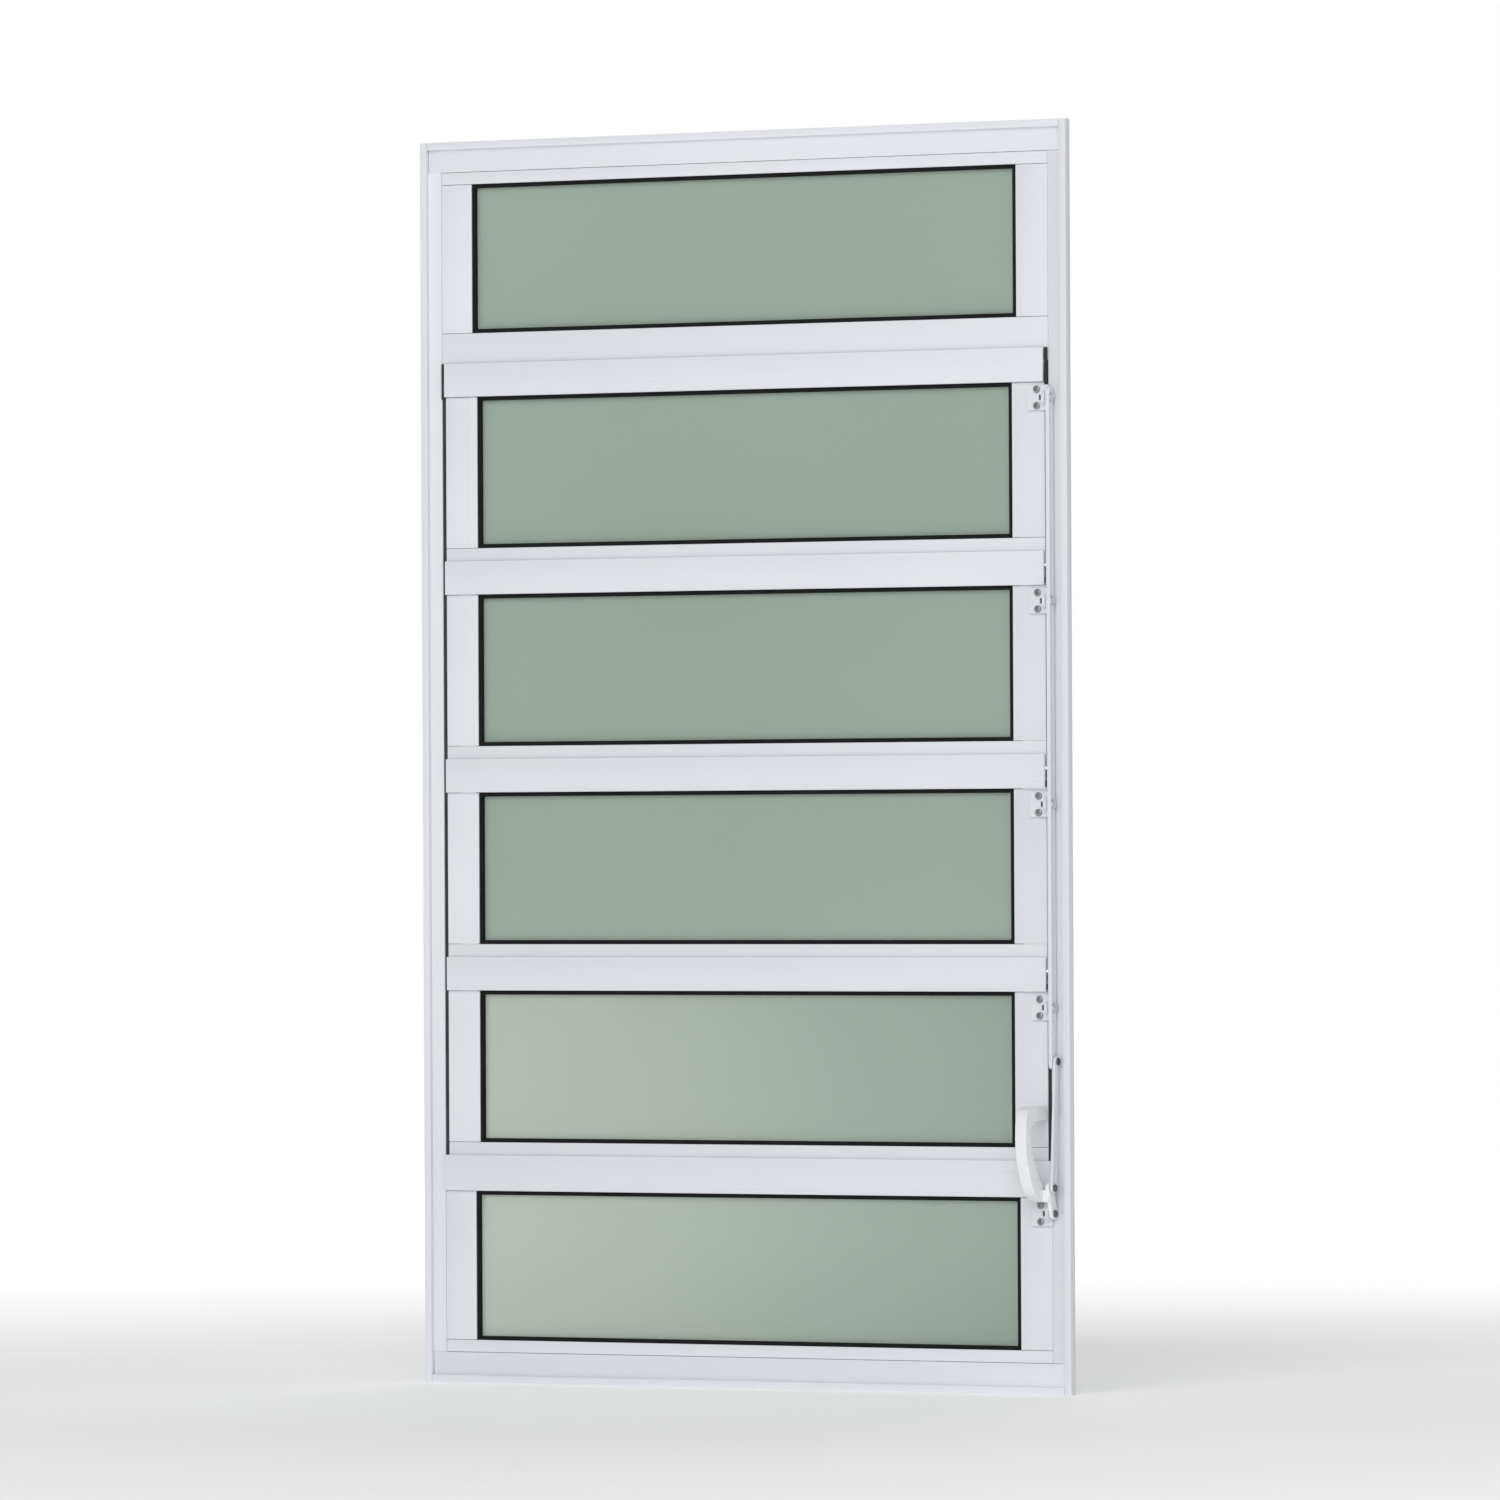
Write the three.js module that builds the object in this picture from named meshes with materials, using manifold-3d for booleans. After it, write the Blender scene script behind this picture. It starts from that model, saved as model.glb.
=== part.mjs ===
// Tilting window: a white aluminium frame with a fixed light at the top and at the bottom, and four
// glazed sashes between them. Each sash tips about two pivots near its mid-height. A flat rod down
// the right side joins the sashes, and a D-shaped handle moves it through a short link.
// Millimetres. +X is to the right as seen from the room, -Y is towards the room and +Z is up. The
// origin is the centre of the underside of the frame's front lip, and y = 0 is the plane of the
// frame's flat and of the sashes' fronts.
import * as THREE from "three";
import { mergeVertices } from "three/addons/utils/BufferGeometryUtils.js";
import Module from "manifold-3d";

const wasm = await Module();
wasm.setup();

// Overall
const WIDTH = 600; // over the front lip
const HEIGHT = 1000;
const SHEET = 1.5; // wall of every aluminium section
const GAP = 0.3; // between two pieces that meet
const SASHES = 4;
const ARC_STEPS = 5; // segments of each curve in an outline
const ROUND_STEPS = 20; // sides of a pin or a round hole

// Frame section, measured in from the outer edge
const LIP_WIDTH = 6;
const LIP_FRONT = -3.5;
const LIP_BACK = 3.5;
const JAMB_FACE = 18.1; // outer edge to the inner face of a jamb's web
const HEAD_FACE = 24.3; // the same for the head and the sill
const WEB_BACK = 26;

// Glazing: each light's glass stands in a pocket behind the front wall of its rails and stiles
const MEMBER_DEPTH = 18; // of every rail, stile and transom
const GLASS_FRONT = 4.5;
const GLASS_THICKNESS = 4;
const GLASS_COVER = 4; // how far the glass runs in behind the opening's edge
const POCKET = 6.3; // from the opening's edge to the pocket's floor
const GASKET_WIDTH = 3; // the part that shows inside the opening
const GASKET_FRONT = 0.3;

// Rails, stiles and transoms, measured out from the opening's edge
const LIGHT_OPENING = 120.2; // height of the fixed lights' openings
const FIXED_RAIL = 9.7;
const FIXED_STILE = 28.6;
const UPPER_TRANSOM = 34.2;
const LOWER_TRANSOM_BODY = 16.8;
const SASH_STILE = 29.6;
const TOP_RAIL_BODY = 15;
const BOTTOM_RAIL = 20.3;
const FLANGE_FRONT = -2.8; // the flange laps over the front of what is above it
const FLANGE_LAP = 10;
const SASH_CLEAR = 2; // between the bodies of two sashes, one above the other
const SIDE_GAP = 3.6; // between a sash and the jamb's web

// Sash pivots
const PIVOT_Y = 9;
const PIVOT_ABOVE_MIDDLE = 4.25;
const PIVOT_RADIUS = 3;
const PIVOT_COLLAR_RADIUS = 7;
const PIVOT_REACH = 3; // from a wall's near face, through the wall and out of its far side
const RUNNING_CLEARANCE = 0.3; // on the radius of every hole that a pin turns in

// Brackets, screwed to the right stiles, each with a rivet that carries the rod or the handle
const BRACKET_SHEET = 2;
const BRACKET_HEIGHT = 20;
const BRACKET_WIDTH = 19; // out to the far face of the ear
const BRACKET_BELOW_OPENING = 12.5; // its middle, below the top edge of the light's opening
const BRACKET_EAR_EDGE = 17; // from the window's outer edge to the ear's right face
const EAR_RADIUS = 5.7;
const EAR_SHOULDER = 3; // how far the ear's corners stand out from the stile
const EAR_TURN = 140; // degrees from +y to where the ear's arc starts and ends
const RIVET_RADIUS = 2;
const RIVET_HEAD_RADIUS = 3.6;
const RIVET_HEAD = 1;
const RIVET_Y = -4.8;

// Rod and link, flat bars side by side in front of the right jamb
const ROD_THICKNESS = 3.2;
const ROD_WIDTH = 7.4;
const ROD_TO_EAR = 0.8;
const ROD_ABOVE_PIN = 8.2;
const ROD_BELOW_LINK = 6.2;
const LINK_THICKNESS = 2;
const LINK_WIDTH = 8;
const LINK_TO_ROD = 1;
const LINK_BELOW_LAST_PIN = 42; // from the lowest sash's rivet to the link's upper rivet

// Handle, measured from its pivot: y is out towards the room as a negative number, z is up
const CRANK_Y = -5.7; // the pin that moves the link
const CRANK_Z = 20.2;
const LUG_RADIUS = 4.4;
const HANDLE_THICKNESS = 10;
const HANDLE_TO_LUG = 2.3; // between the lug's left face and the grip's right face
const HANDLE_TOP = 84.4;
const HANDLE_ARM = 11.2; // height of the arm over the finger gap
const HANDLE_BACK = -2.1; // the arm's end beside the rod
const HANDLE_FRONT = -36;
const FOOT_BACK = -1.2;
const FOOT_BOTTOM = 9;
const FOOT_TOP = 19;

const MATERIALS = {
  paint: new THREE.MeshStandardMaterial({ color: 0xdfe2e8, roughness: 0.35, metalness: 0 }),
  glass: new THREE.MeshStandardMaterial({
    color: 0x98a89d,
    roughness: 0.1,
    metalness: 0,
    transparent: true,
    opacity: 0.75,
  }),
  rubber: new THREE.MeshStandardMaterial({ color: 0x1a1b1c, roughness: 0.7, metalness: 0 }),
  nylon: new THREE.MeshStandardMaterial({ color: 0x3a3c3f, roughness: 0.55, metalness: 0 }),
  steel: new THREE.MeshStandardMaterial({ color: 0xa9acb0, roughness: 0.35, metalness: 1 }),
};

// Places worked out from the sizes above
const HALF_WIDTH = WIDTH / 2;
const WEB_X = HALF_WIDTH - JAMB_FACE;
const FIXED_HALF = WEB_X - GAP - FIXED_STILE; // half the width of a fixed light's opening
const SASH_EDGE = WEB_X - SIDE_GAP;
const SASH_HALF = SASH_EDGE - SASH_STILE;
const GLASS_BACK = GLASS_FRONT + GLASS_THICKNESS;
const LOW_OPENING = { low: HEAD_FACE + GAP + FIXED_RAIL };
LOW_OPENING.high = LOW_OPENING.low + LIGHT_OPENING;
const HIGH_OPENING = { high: HEIGHT - HEAD_FACE - GAP - FIXED_RAIL };
HIGH_OPENING.low = HIGH_OPENING.high - LIGHT_OPENING;
const SASH_ZONE_TOP = HIGH_OPENING.low - UPPER_TRANSOM;
const SASH_ZONE_BOTTOM = LOW_OPENING.high + LOWER_TRANSOM_BODY + SASH_CLEAR;
const SASH_PITCH = (SASH_ZONE_TOP - SASH_ZONE_BOTTOM) / SASHES;
const SASH_BELOW = SASH_PITCH / 2 + PIVOT_ABOVE_MIDDLE; // pivot to the sash's lower edge
const SASH_ABOVE = SASH_PITCH - SASH_BELOW; // pivot to the lower edge of what is above
const SASH_OPENING = {
  low: -SASH_BELOW + BOTTOM_RAIL,
  high: SASH_ABOVE - SASH_CLEAR - TOP_RAIL_BODY,
};
const TOP_RAIL_FLANGE = TOP_RAIL_BODY + SASH_CLEAR + FLANGE_LAP;
const LOWER_TRANSOM_FLANGE = LOWER_TRANSOM_BODY + SASH_CLEAR + FLANGE_LAP;
const pivotZ = (index) => SASH_ZONE_TOP - SASH_ABOVE - index * SASH_PITCH;
const PIN_ABOVE_PIVOT = SASH_OPENING.high - BRACKET_BELOW_OPENING;

// Layers of the linkage, as x of the left and the right face of each
const EAR_RIGHT = HALF_WIDTH - BRACKET_EAR_EDGE;
const EAR = [EAR_RIGHT - BRACKET_SHEET, EAR_RIGHT];
const ROD = [EAR_RIGHT + ROD_TO_EAR, EAR_RIGHT + ROD_TO_EAR + ROD_THICKNESS];
const LINK = [ROD[1] + LINK_TO_ROD, ROD[1] + LINK_TO_ROD + LINK_THICKNESS];
const GRIP_X = [ROD[0] - HANDLE_TO_LUG - HANDLE_THICKNESS, ROD[0] - HANDLE_TO_LUG];
const HANDLE_PIVOT = [RIVET_Y, LOW_OPENING.high - BRACKET_BELOW_OPENING];
const CRANK_PIN = [HANDLE_PIVOT[0] + CRANK_Y, HANDLE_PIVOT[1] + CRANK_Z];
const LINK_TOP = [RIVET_Y, pivotZ(SASHES - 1) + PIN_ABOVE_PIVOT - LINK_BELOW_LAST_PIN];

const X = new THREE.Vector3(1, 0, 0);
const Y = new THREE.Vector3(0, 1, 0);
const Z = new THREE.Vector3(0, 0, 1);
const ALONG_X = new THREE.Matrix4().makeBasis(Y, Z, X); // takes an outline drawn in (y, z)
const ALONG_Y = new THREE.Matrix4().makeBasis(X, Z, Y.clone().negate()); // in (x, z)

// Shapes

// An outline runs anticlockwise and its hollow clockwise, however a section has been turned over.
function outline(points, hollow) {
  const turned = (pairs, clockwise) => {
    const path = pairs.map(([a, b]) => new THREE.Vector2(a, b));
    return THREE.ShapeUtils.isClockWise(path) === clockwise ? path : path.reverse();
  };
  const shape = new THREE.Shape(turned(points, false));
  if (hollow) shape.holes.push(new THREE.Path(turned(hollow, true)));
  return shape;
}

function extruded(shape, depth) {
  return new THREE.ExtrudeGeometry(shape, { depth, bevelEnabled: false, curveSegments: ARC_STEPS });
}

function alongX(shape, from, to) {
  return extruded(shape, to - from).applyMatrix4(ALONG_X).translate(from, 0, 0);
}

function alongY(shape, from, to) {
  return extruded(shape, to - from).applyMatrix4(ALONG_Y).translate(0, to, 0);
}

function alongZ(shape, from, to) {
  return extruded(shape, to - from).translate(0, 0, from);
}

function block([x0, x1], [y0, y1], [z0, z1]) {
  return new THREE.BoxGeometry(x1 - x0, y1 - y0, z1 - z0).translate(
    (x0 + x1) / 2,
    (y0 + y1) / 2,
    (z0 + z1) / 2,
  );
}

// A round bar along X.
function roundBar(radius, from, to, y, z) {
  return new THREE.CylinderGeometry(radius, radius, to - from, ROUND_STEPS)
    .rotateZ(Math.PI / 2)
    .translate((from + to) / 2, y, z);
}

function ring(halfWidth, low, high, width) {
  const corners = (inset) => [
    [-halfWidth + inset, low + inset],
    [halfWidth - inset, low + inset],
    [halfWidth - inset, high - inset],
    [-halfWidth + inset, high - inset],
  ];
  return outline(corners(0), corners(width));
}

// Joins and cuts

function solid(geometry) {
  const bare = new THREE.BufferGeometry();
  bare.setAttribute("position", geometry.getAttribute("position"));
  bare.setIndex(geometry.index);
  const merged = mergeVertices(bare);
  return new wasm.Manifold(
    new wasm.Mesh({
      numProp: 3,
      vertProperties: merged.attributes.position.array,
      triVerts: new Uint32Array(merged.index.array),
    }),
  );
}

function geometryOf(manifold) {
  const { vertProperties, triVerts } = manifold.getMesh();
  const geometry = new THREE.BufferGeometry();
  geometry.setAttribute("position", new THREE.BufferAttribute(vertProperties, 3));
  geometry.setIndex(new THREE.BufferAttribute(triVerts, 1));
  geometry.computeVertexNormals();
  return geometry;
}

function joined(...pieces) {
  return geometryOf(pieces.map(solid).reduce((whole, piece) => whole.add(piece)));
}

function cut(body, ...tools) {
  return geometryOf(tools.map(solid).reduce((left, tool) => left.subtract(tool), solid(body)));
}

function mesh(name, geometry, material) {
  const made = new THREE.Mesh(geometry, material);
  made.name = name;
  return made;
}

// Sections. Points are [y, d], where d runs out from the opening's edge.

// A box section with a glazing pocket between its front wall and a rear bead.
function pocketSection(width) {
  const bead = GLASS_BACK + GAP;
  return {
    points: [
      [0, 0],
      [SHEET, 0],
      [SHEET, POCKET],
      [bead, POCKET],
      [bead, 0],
      [bead + SHEET, 0],
      [bead + SHEET, POCKET],
      [MEMBER_DEPTH, POCKET],
      [MEMBER_DEPTH, width],
      [0, width],
    ],
    hollow: hollowOf(SHEET, width),
  };
}

// The same with its front wall carried forward and on, as a flange that laps over its neighbour.
function flangedSection(body, flange) {
  const bead = GLASS_BACK + GAP;
  const back = FLANGE_FRONT + SHEET;
  return {
    points: [
      [FLANGE_FRONT, 0],
      [SHEET, 0],
      [SHEET, SHEET],
      [back, SHEET],
      [back, POCKET],
      [bead, POCKET],
      [bead, 0],
      [bead + SHEET, 0],
      [bead + SHEET, POCKET],
      [MEMBER_DEPTH, POCKET],
      [MEMBER_DEPTH, body],
      [back, body],
      [back, flange],
      [FLANGE_FRONT, flange],
    ],
    hollow: hollowOf(back + SHEET, body),
  };
}

// The chamber of a section, unless its walls leave no room for one.
function hollowOf(front, width) {
  const near = POCKET + SHEET;
  const far = width - SHEET;
  if (far - near < SHEET) return null;
  return [
    [front, near],
    [MEMBER_DEPTH - SHEET, near],
    [MEMBER_DEPTH - SHEET, far],
    [front, far],
  ];
}

// A section run along an axis, with its chamber cut through from end to end.
function member({ points, hollow }, place, along, from, to) {
  const whole = along(outline(points.map(place)), from, to);
  return hollow ? cut(whole, along(outline(hollow.map(place)), from - GAP, to + GAP)) : whole;
}

// A rail whose opening's edge is at z = edge; it lies above the opening if up is 1, below if -1.
function rail(section, edge, up, halfLength) {
  return member(section, ([y, d]) => [y, edge + up * d], alongX, -halfLength, halfLength);
}

// A stile that stands between two rails; side is 1 on the right and -1 on the left.
function stile(width, side, openingHalf, { low, high }) {
  const place = ([y, d]) => [side * (openingHalf + d), y];
  return member(pocketSection(width), place, alongZ, low + GAP, high - GAP);
}

function glass(openingHalf, { low, high }) {
  const half = openingHalf + GLASS_COVER;
  return block([-half, half], [GLASS_FRONT, GLASS_BACK], [low - GLASS_COVER, high + GLASS_COVER]);
}

// A rubber ring with a step: its front stands inside the opening and its back reaches in behind it.
function gasket(openingHalf, { low, high }) {
  const inside = ring(openingHalf - GAP, low + GAP, high - GAP, GASKET_WIDTH);
  const reach = GLASS_COVER - GAP;
  const behind = ring(openingHalf + reach, low - reach, high + reach, reach + GAP + GASKET_WIDTH);
  const back = GLASS_FRONT - GAP;
  return joined(alongY(inside, GASKET_FRONT, back), alongY(behind, SHEET + GAP, back));
}

// Frame

// Points are [u, y], where u runs in from the outer edge: the lip, the flat and the web.
function frameSection(face) {
  return [
    [0, LIP_BACK],
    [0, LIP_FRONT],
    [LIP_WIDTH, LIP_FRONT],
    [LIP_WIDTH, 0],
    [face, 0],
    [face, WEB_BACK],
    [face - SHEET, WEB_BACK],
    [face - SHEET, SHEET],
    [LIP_WIDTH - SHEET, SHEET],
    [LIP_WIDTH - SHEET, LIP_FRONT + SHEET],
    [SHEET, LIP_FRONT + SHEET],
    [SHEET, LIP_BACK],
  ];
}

// The head and the sill run between the jambs' lips, and their webs between the jambs' webs.
function crossFrame(place) {
  const half = HALF_WIDTH - LIP_WIDTH - GAP;
  const whole = alongX(outline(frameSection(HEAD_FACE).map(place)), -half, half);
  const behindFlat = [SHEET, WEB_BACK + GAP];
  const allHeight = [-GAP, HEIGHT + GAP];
  return cut(
    whole,
    block([WEB_X - GAP, HALF_WIDTH], behindFlat, allHeight),
    block([-HALF_WIDTH, GAP - WEB_X], behindFlat, allHeight),
  );
}

// A jamb's lip runs full height. Its flat stops at the head and the sill, and its web at their webs.
function jamb(side) {
  const shape = outline(frameSection(JAMB_FACE).map(([u, y]) => [side * (HALF_WIDTH - u), y]));
  const across = (u0, u1) => {
    const [near, far] = [side * (HALF_WIDTH - u0), side * (HALF_WIDTH - u1)];
    return [Math.min(near, far), Math.max(near, far)];
  };
  const ends = (length) => [
    [-GAP, length],
    [HEIGHT - length, HEIGHT + GAP],
  ];
  const flatCuts = ends(HEAD_FACE + GAP).map((z) =>
    block(across(LIP_WIDTH, JAMB_FACE + GAP), [-GAP, SHEET + GAP], z),
  );
  const webCuts = ends(HEAD_FACE - SHEET).map((z) =>
    block(across(LIP_WIDTH, JAMB_FACE + GAP), [SHEET, WEB_BACK + GAP], z),
  );
  const holeRadius = PIVOT_RADIUS + RUNNING_CLEARANCE;
  const holeReach = across(JAMB_FACE - 2 * SHEET, JAMB_FACE + SHEET);
  const pivotHoles = Array.from({ length: SASHES }, (_, i) =>
    roundBar(holeRadius, ...holeReach, PIVOT_Y, pivotZ(i)),
  );
  return cut(alongZ(shape, 0, HEIGHT), ...flatCuts, ...webCuts, ...pivotHoles);
}

function frame() {
  const { paint } = MATERIALS;
  const between = WEB_X - GAP;
  const upper = rail(pocketSection(UPPER_TRANSOM), HIGH_OPENING.low, -1, between);
  const lowerSection = flangedSection(LOWER_TRANSOM_BODY, LOWER_TRANSOM_FLANGE);
  const lower = rail(lowerSection, LOW_OPENING.high, 1, between);
  return [
    mesh("frame_head", crossFrame(([u, y]) => [y, HEIGHT - u]), paint),
    mesh("frame_sill", crossFrame(([u, y]) => [y, u]), paint),
    mesh("frame_jamb_left", jamb(-1), paint),
    mesh("frame_jamb_right", jamb(1), paint),
    mesh("transom_upper", upper, paint),
    mesh("transom_lower", lower, paint),
  ];
}

// A light whose glass doesn't open. One of its rails is its own, and the other is a transom.
function fixedLight(name, opening, railEdge, up) {
  const { paint, rubber } = MATERIALS;
  return [
    mesh(`${name}_rail`, rail(pocketSection(FIXED_RAIL), railEdge, up, WEB_X - GAP), paint),
    mesh(`${name}_stile_left`, stile(FIXED_STILE, -1, FIXED_HALF, opening), paint),
    mesh(`${name}_stile_right`, stile(FIXED_STILE, 1, FIXED_HALF, opening), paint),
    mesh(`${name}_glass`, glass(FIXED_HALF, opening), MATERIALS.glass),
    mesh(`${name}_gasket`, gasket(FIXED_HALF, opening), rubber),
  ];
}

// Brackets

// An angle plate: its foot lies on the stile and its ear stands out beside the rod, round the pin.
function anglePlate(y, z) {
  const half = BRACKET_HEIGHT / 2;
  const turn = THREE.MathUtils.degToRad(EAR_TURN);
  const ear = new THREE.Shape()
    .moveTo(-GAP, z - half)
    .lineTo(-GAP, z + half)
    .lineTo(-EAR_SHOULDER, z + half)
    .absarc(y, z, EAR_RADIUS, turn, 2 * Math.PI - turn, false)
    .lineTo(-EAR_SHOULDER, z - half);
  return joined(
    alongX(ear, ...EAR),
    block([EAR_RIGHT - BRACKET_WIDTH, EAR[1]], [-GAP - BRACKET_SHEET, -GAP], [z - half, z + half]),
  );
}

// A sash's bracket, in one with its rivet, whose head is on the far side of the rod.
function sashBracket(y, z) {
  const headFrom = ROD[1] + GAP;
  return joined(
    anglePlate(y, z),
    roundBar(RIVET_RADIUS, EAR[0], headFrom + RIVET_HEAD, y, z),
    roundBar(RIVET_HEAD_RADIUS, headFrom, headFrom + RIVET_HEAD, y, z),
  );
}

function pinHole(from, to, y, z) {
  return roundBar(RIVET_RADIUS + RUNNING_CLEARANCE, from, to, y, z);
}

// Sashes

function pivotPin(side, y) {
  const from = SASH_EDGE - PIVOT_REACH;
  const to = WEB_X + PIVOT_REACH;
  const collar = [SASH_EDGE + GAP, WEB_X - 2 * GAP];
  const across = (a, b) => (side > 0 ? [a, b] : [-b, -a]);
  return joined(
    roundBar(PIVOT_RADIUS, ...across(from, to), y, 0),
    roundBar(PIVOT_COLLAR_RADIUS, ...across(...collar), y, 0),
  );
}

// A sash is drawn round its pivots' height, and its group stands at that height.
function sash(index) {
  const { paint, rubber, nylon } = MATERIALS;
  const name = `sash_${index + 1}`;
  const topSection = flangedSection(TOP_RAIL_BODY, TOP_RAIL_FLANGE);
  const bottomSection = pocketSection(BOTTOM_RAIL);
  const group = new THREE.Group();
  group.position.z = pivotZ(index);
  group.add(
    mesh(`${name}_top_rail`, rail(topSection, SASH_OPENING.high, 1, SASH_EDGE), paint),
    mesh(`${name}_bottom_rail`, rail(bottomSection, SASH_OPENING.low, -1, SASH_EDGE), paint),
    mesh(`${name}_glass`, glass(SASH_HALF, SASH_OPENING), MATERIALS.glass),
    mesh(`${name}_gasket`, gasket(SASH_HALF, SASH_OPENING), rubber),
    mesh(`${name}_bracket`, sashBracket(RIVET_Y, PIN_ABOVE_PIVOT), paint),
  );
  for (const [word, side] of [
    ["left", -1],
    ["right", 1],
  ]) {
    const wall = [SASH_EDGE - 2 * SHEET, SASH_EDGE + SHEET];
    const hole = side > 0 ? wall : [-wall[1], -wall[0]];
    const bored = cut(
      stile(SASH_STILE, side, SASH_HALF, SASH_OPENING),
      roundBar(PIVOT_RADIUS + RUNNING_CLEARANCE, ...hole, PIVOT_Y, 0),
    );
    group.add(
      mesh(`${name}_stile_${word}`, bored, paint),
      mesh(`${name}_pivot_${word}`, pivotPin(side, PIVOT_Y), nylon),
    );
  }
  return group;
}

// Rod, link and handle

// A flat bar with round ends, between z = low and z = high on the line y = 0.
function flatBar(width, low, high, holes) {
  const r = width / 2;
  const bar = new THREE.Shape()
    .absarc(0, high - r, r, 0, Math.PI, false)
    .absarc(0, low + r, r, Math.PI, 2 * Math.PI, false);
  const holeRadius = RIVET_RADIUS + RUNNING_CLEARANCE;
  bar.holes = holes.map((z) => new THREE.Path().absarc(0, z, holeRadius, 0, 2 * Math.PI, true));
  return bar;
}

function linkRod() {
  const pins = Array.from({ length: SASHES }, (_, i) => pivotZ(i) + PIN_ABOVE_PIVOT);
  const shape = flatBar(ROD_WIDTH, LINK_TOP[1] - ROD_BELOW_LINK, pins[0] + ROD_ABOVE_PIN, pins);
  const made = mesh("link_rod", alongX(shape, ...ROD), MATERIALS.paint);
  made.position.y = RIVET_Y;
  return made;
}

// The link's own frame has its lower pin at the origin and its upper rivet up along z.
function handleLink() {
  const [dy, dz] = [LINK_TOP[0] - CRANK_PIN[0], LINK_TOP[1] - CRANK_PIN[1]];
  const length = Math.hypot(dy, dz);
  const r = LINK_WIDTH / 2;
  const shape = flatBar(LINK_WIDTH, -r, length + r, [0, length]);
  const head = LINK[1] + GAP;
  const rivet = joined(
    roundBar(RIVET_RADIUS, LINK[0] - GAP, head + RIVET_HEAD, 0, length),
    roundBar(RIVET_HEAD_RADIUS, head, head + RIVET_HEAD, 0, length),
  );
  const group = new THREE.Group();
  group.position.set(0, ...CRANK_PIN);
  group.rotation.x = Math.atan2(-dy, dz);
  group.add(
    mesh("handle_link", alongX(shape, ...LINK), MATERIALS.paint),
    mesh("link_upper_rivet", rivet, MATERIALS.steel),
  );
  return group;
}

// The D of the handle in (y, z) from its pivot: an arm at the top, a bowed grip and a foot. The
// curves keep their shape, and move with the height of the arm, the grip's front and the foot.
function gripShape() {
  const armUnder = HANDLE_TOP - HANDLE_ARM;
  const front = (y) => HANDLE_FRONT + y;
  const down = (z) => HANDLE_TOP - z;
  const up = (z) => FOOT_TOP + z;
  return new THREE.Shape()
    .moveTo(HANDLE_BACK, HANDLE_TOP)
    .lineTo(front(14), HANDLE_TOP)
    .bezierCurveTo(front(6), HANDLE_TOP, front(1.4), down(3.4), front(0.8), down(11.4))
    .bezierCurveTo(front(-0.6), down(26.4), front(0), up(29), front(3.2), up(19.5))
    .bezierCurveTo(front(7.5), up(7), front(12), FOOT_BOTTOM, front(33), FOOT_BOTTOM)
    .lineTo(FOOT_BACK, FOOT_BOTTOM)
    .lineTo(FOOT_BACK, FOOT_TOP)
    .lineTo(front(34), FOOT_TOP)
    .bezierCurveTo(front(27), up(1), front(23), up(9), front(18.2), up(15.8))
    .bezierCurveTo(front(14), up(22), front(10.5), down(32.4), front(8.2), down(24.4))
    .bezierCurveTo(front(5.8), down(15.4), front(13), armUnder, front(24), armUnder)
    .lineTo(HANDLE_BACK, armUnder);
}

function footShape() {
  return outline([
    [FOOT_BACK, FOOT_BOTTOM],
    [FOOT_BACK, FOOT_TOP],
    [CRANK_Y - LUG_RADIUS, FOOT_TOP],
    [CRANK_Y - LUG_RADIUS, FOOT_BOTTOM],
  ]);
}

// The lug runs from round the handle's pivot to round the pin that moves the link.
function lugShape() {
  const angle = Math.atan2(CRANK_Z, CRANK_Y);
  return new THREE.Shape()
    .absarc(CRANK_Y, CRANK_Z, LUG_RADIUS, angle - Math.PI / 2, angle + Math.PI / 2, false)
    .absarc(0, 0, LUG_RADIUS, angle + Math.PI / 2, angle + (3 * Math.PI) / 2, false);
}

function handleLever() {
  const whole = joined(
    alongX(gripShape(), ...GRIP_X),
    alongX(footShape(), GRIP_X[0], ROD[1]),
    alongX(lugShape(), ...ROD),
  );
  const bored = cut(
    whole,
    pinHole(ROD[0] - GAP, ROD[1] + GAP, 0, 0),
    pinHole(ROD[0] - RIVET_HEAD - GAP, ROD[1] + GAP, CRANK_Y, CRANK_Z),
  );
  const lever = mesh("handle_lever", bored, MATERIALS.paint);
  lever.position.set(0, ...HANDLE_PIVOT);
  return lever;
}

// Pins at the handle's two pivots, and the bracket that carries the lower one.
function handleFittings() {
  const { paint, steel } = MATERIALS;
  const [y, z] = HANDLE_PIVOT;
  const bracket = cut(anglePlate(y, z), pinHole(EAR[0] - GAP, EAR[1] + GAP, y, z));
  const rightHead = ROD[1] + GAP;
  const linkHead = LINK[1] + GAP;
  const pivotPinSolid = joined(
    roundBar(RIVET_RADIUS, EAR[0] - RIVET_HEAD, rightHead + RIVET_HEAD, y, z),
    roundBar(RIVET_HEAD_RADIUS, rightHead, rightHead + RIVET_HEAD, y, z),
  );
  const crankPinSolid = joined(
    roundBar(RIVET_RADIUS, ROD[0] - RIVET_HEAD, linkHead + RIVET_HEAD, ...CRANK_PIN),
    roundBar(RIVET_HEAD_RADIUS, linkHead, linkHead + RIVET_HEAD, ...CRANK_PIN),
  );
  return [
    mesh("handle_bracket", bracket, paint),
    mesh("handle_pivot_pin", pivotPinSolid, steel),
    mesh("link_lower_pin", crankPinSolid, steel),
  ];
}

const windowUnit = new THREE.Group();
windowUnit.add(
  ...frame(),
  ...fixedLight("top_light", HIGH_OPENING, HIGH_OPENING.high, 1),
  ...fixedLight("bottom_light", LOW_OPENING, LOW_OPENING.low, -1),
  ...Array.from({ length: SASHES }, (_, index) => sash(index)),
  linkRod(),
  handleLink(),
  handleLever(),
  ...handleFittings(),
);

export default windowUnit;
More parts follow.
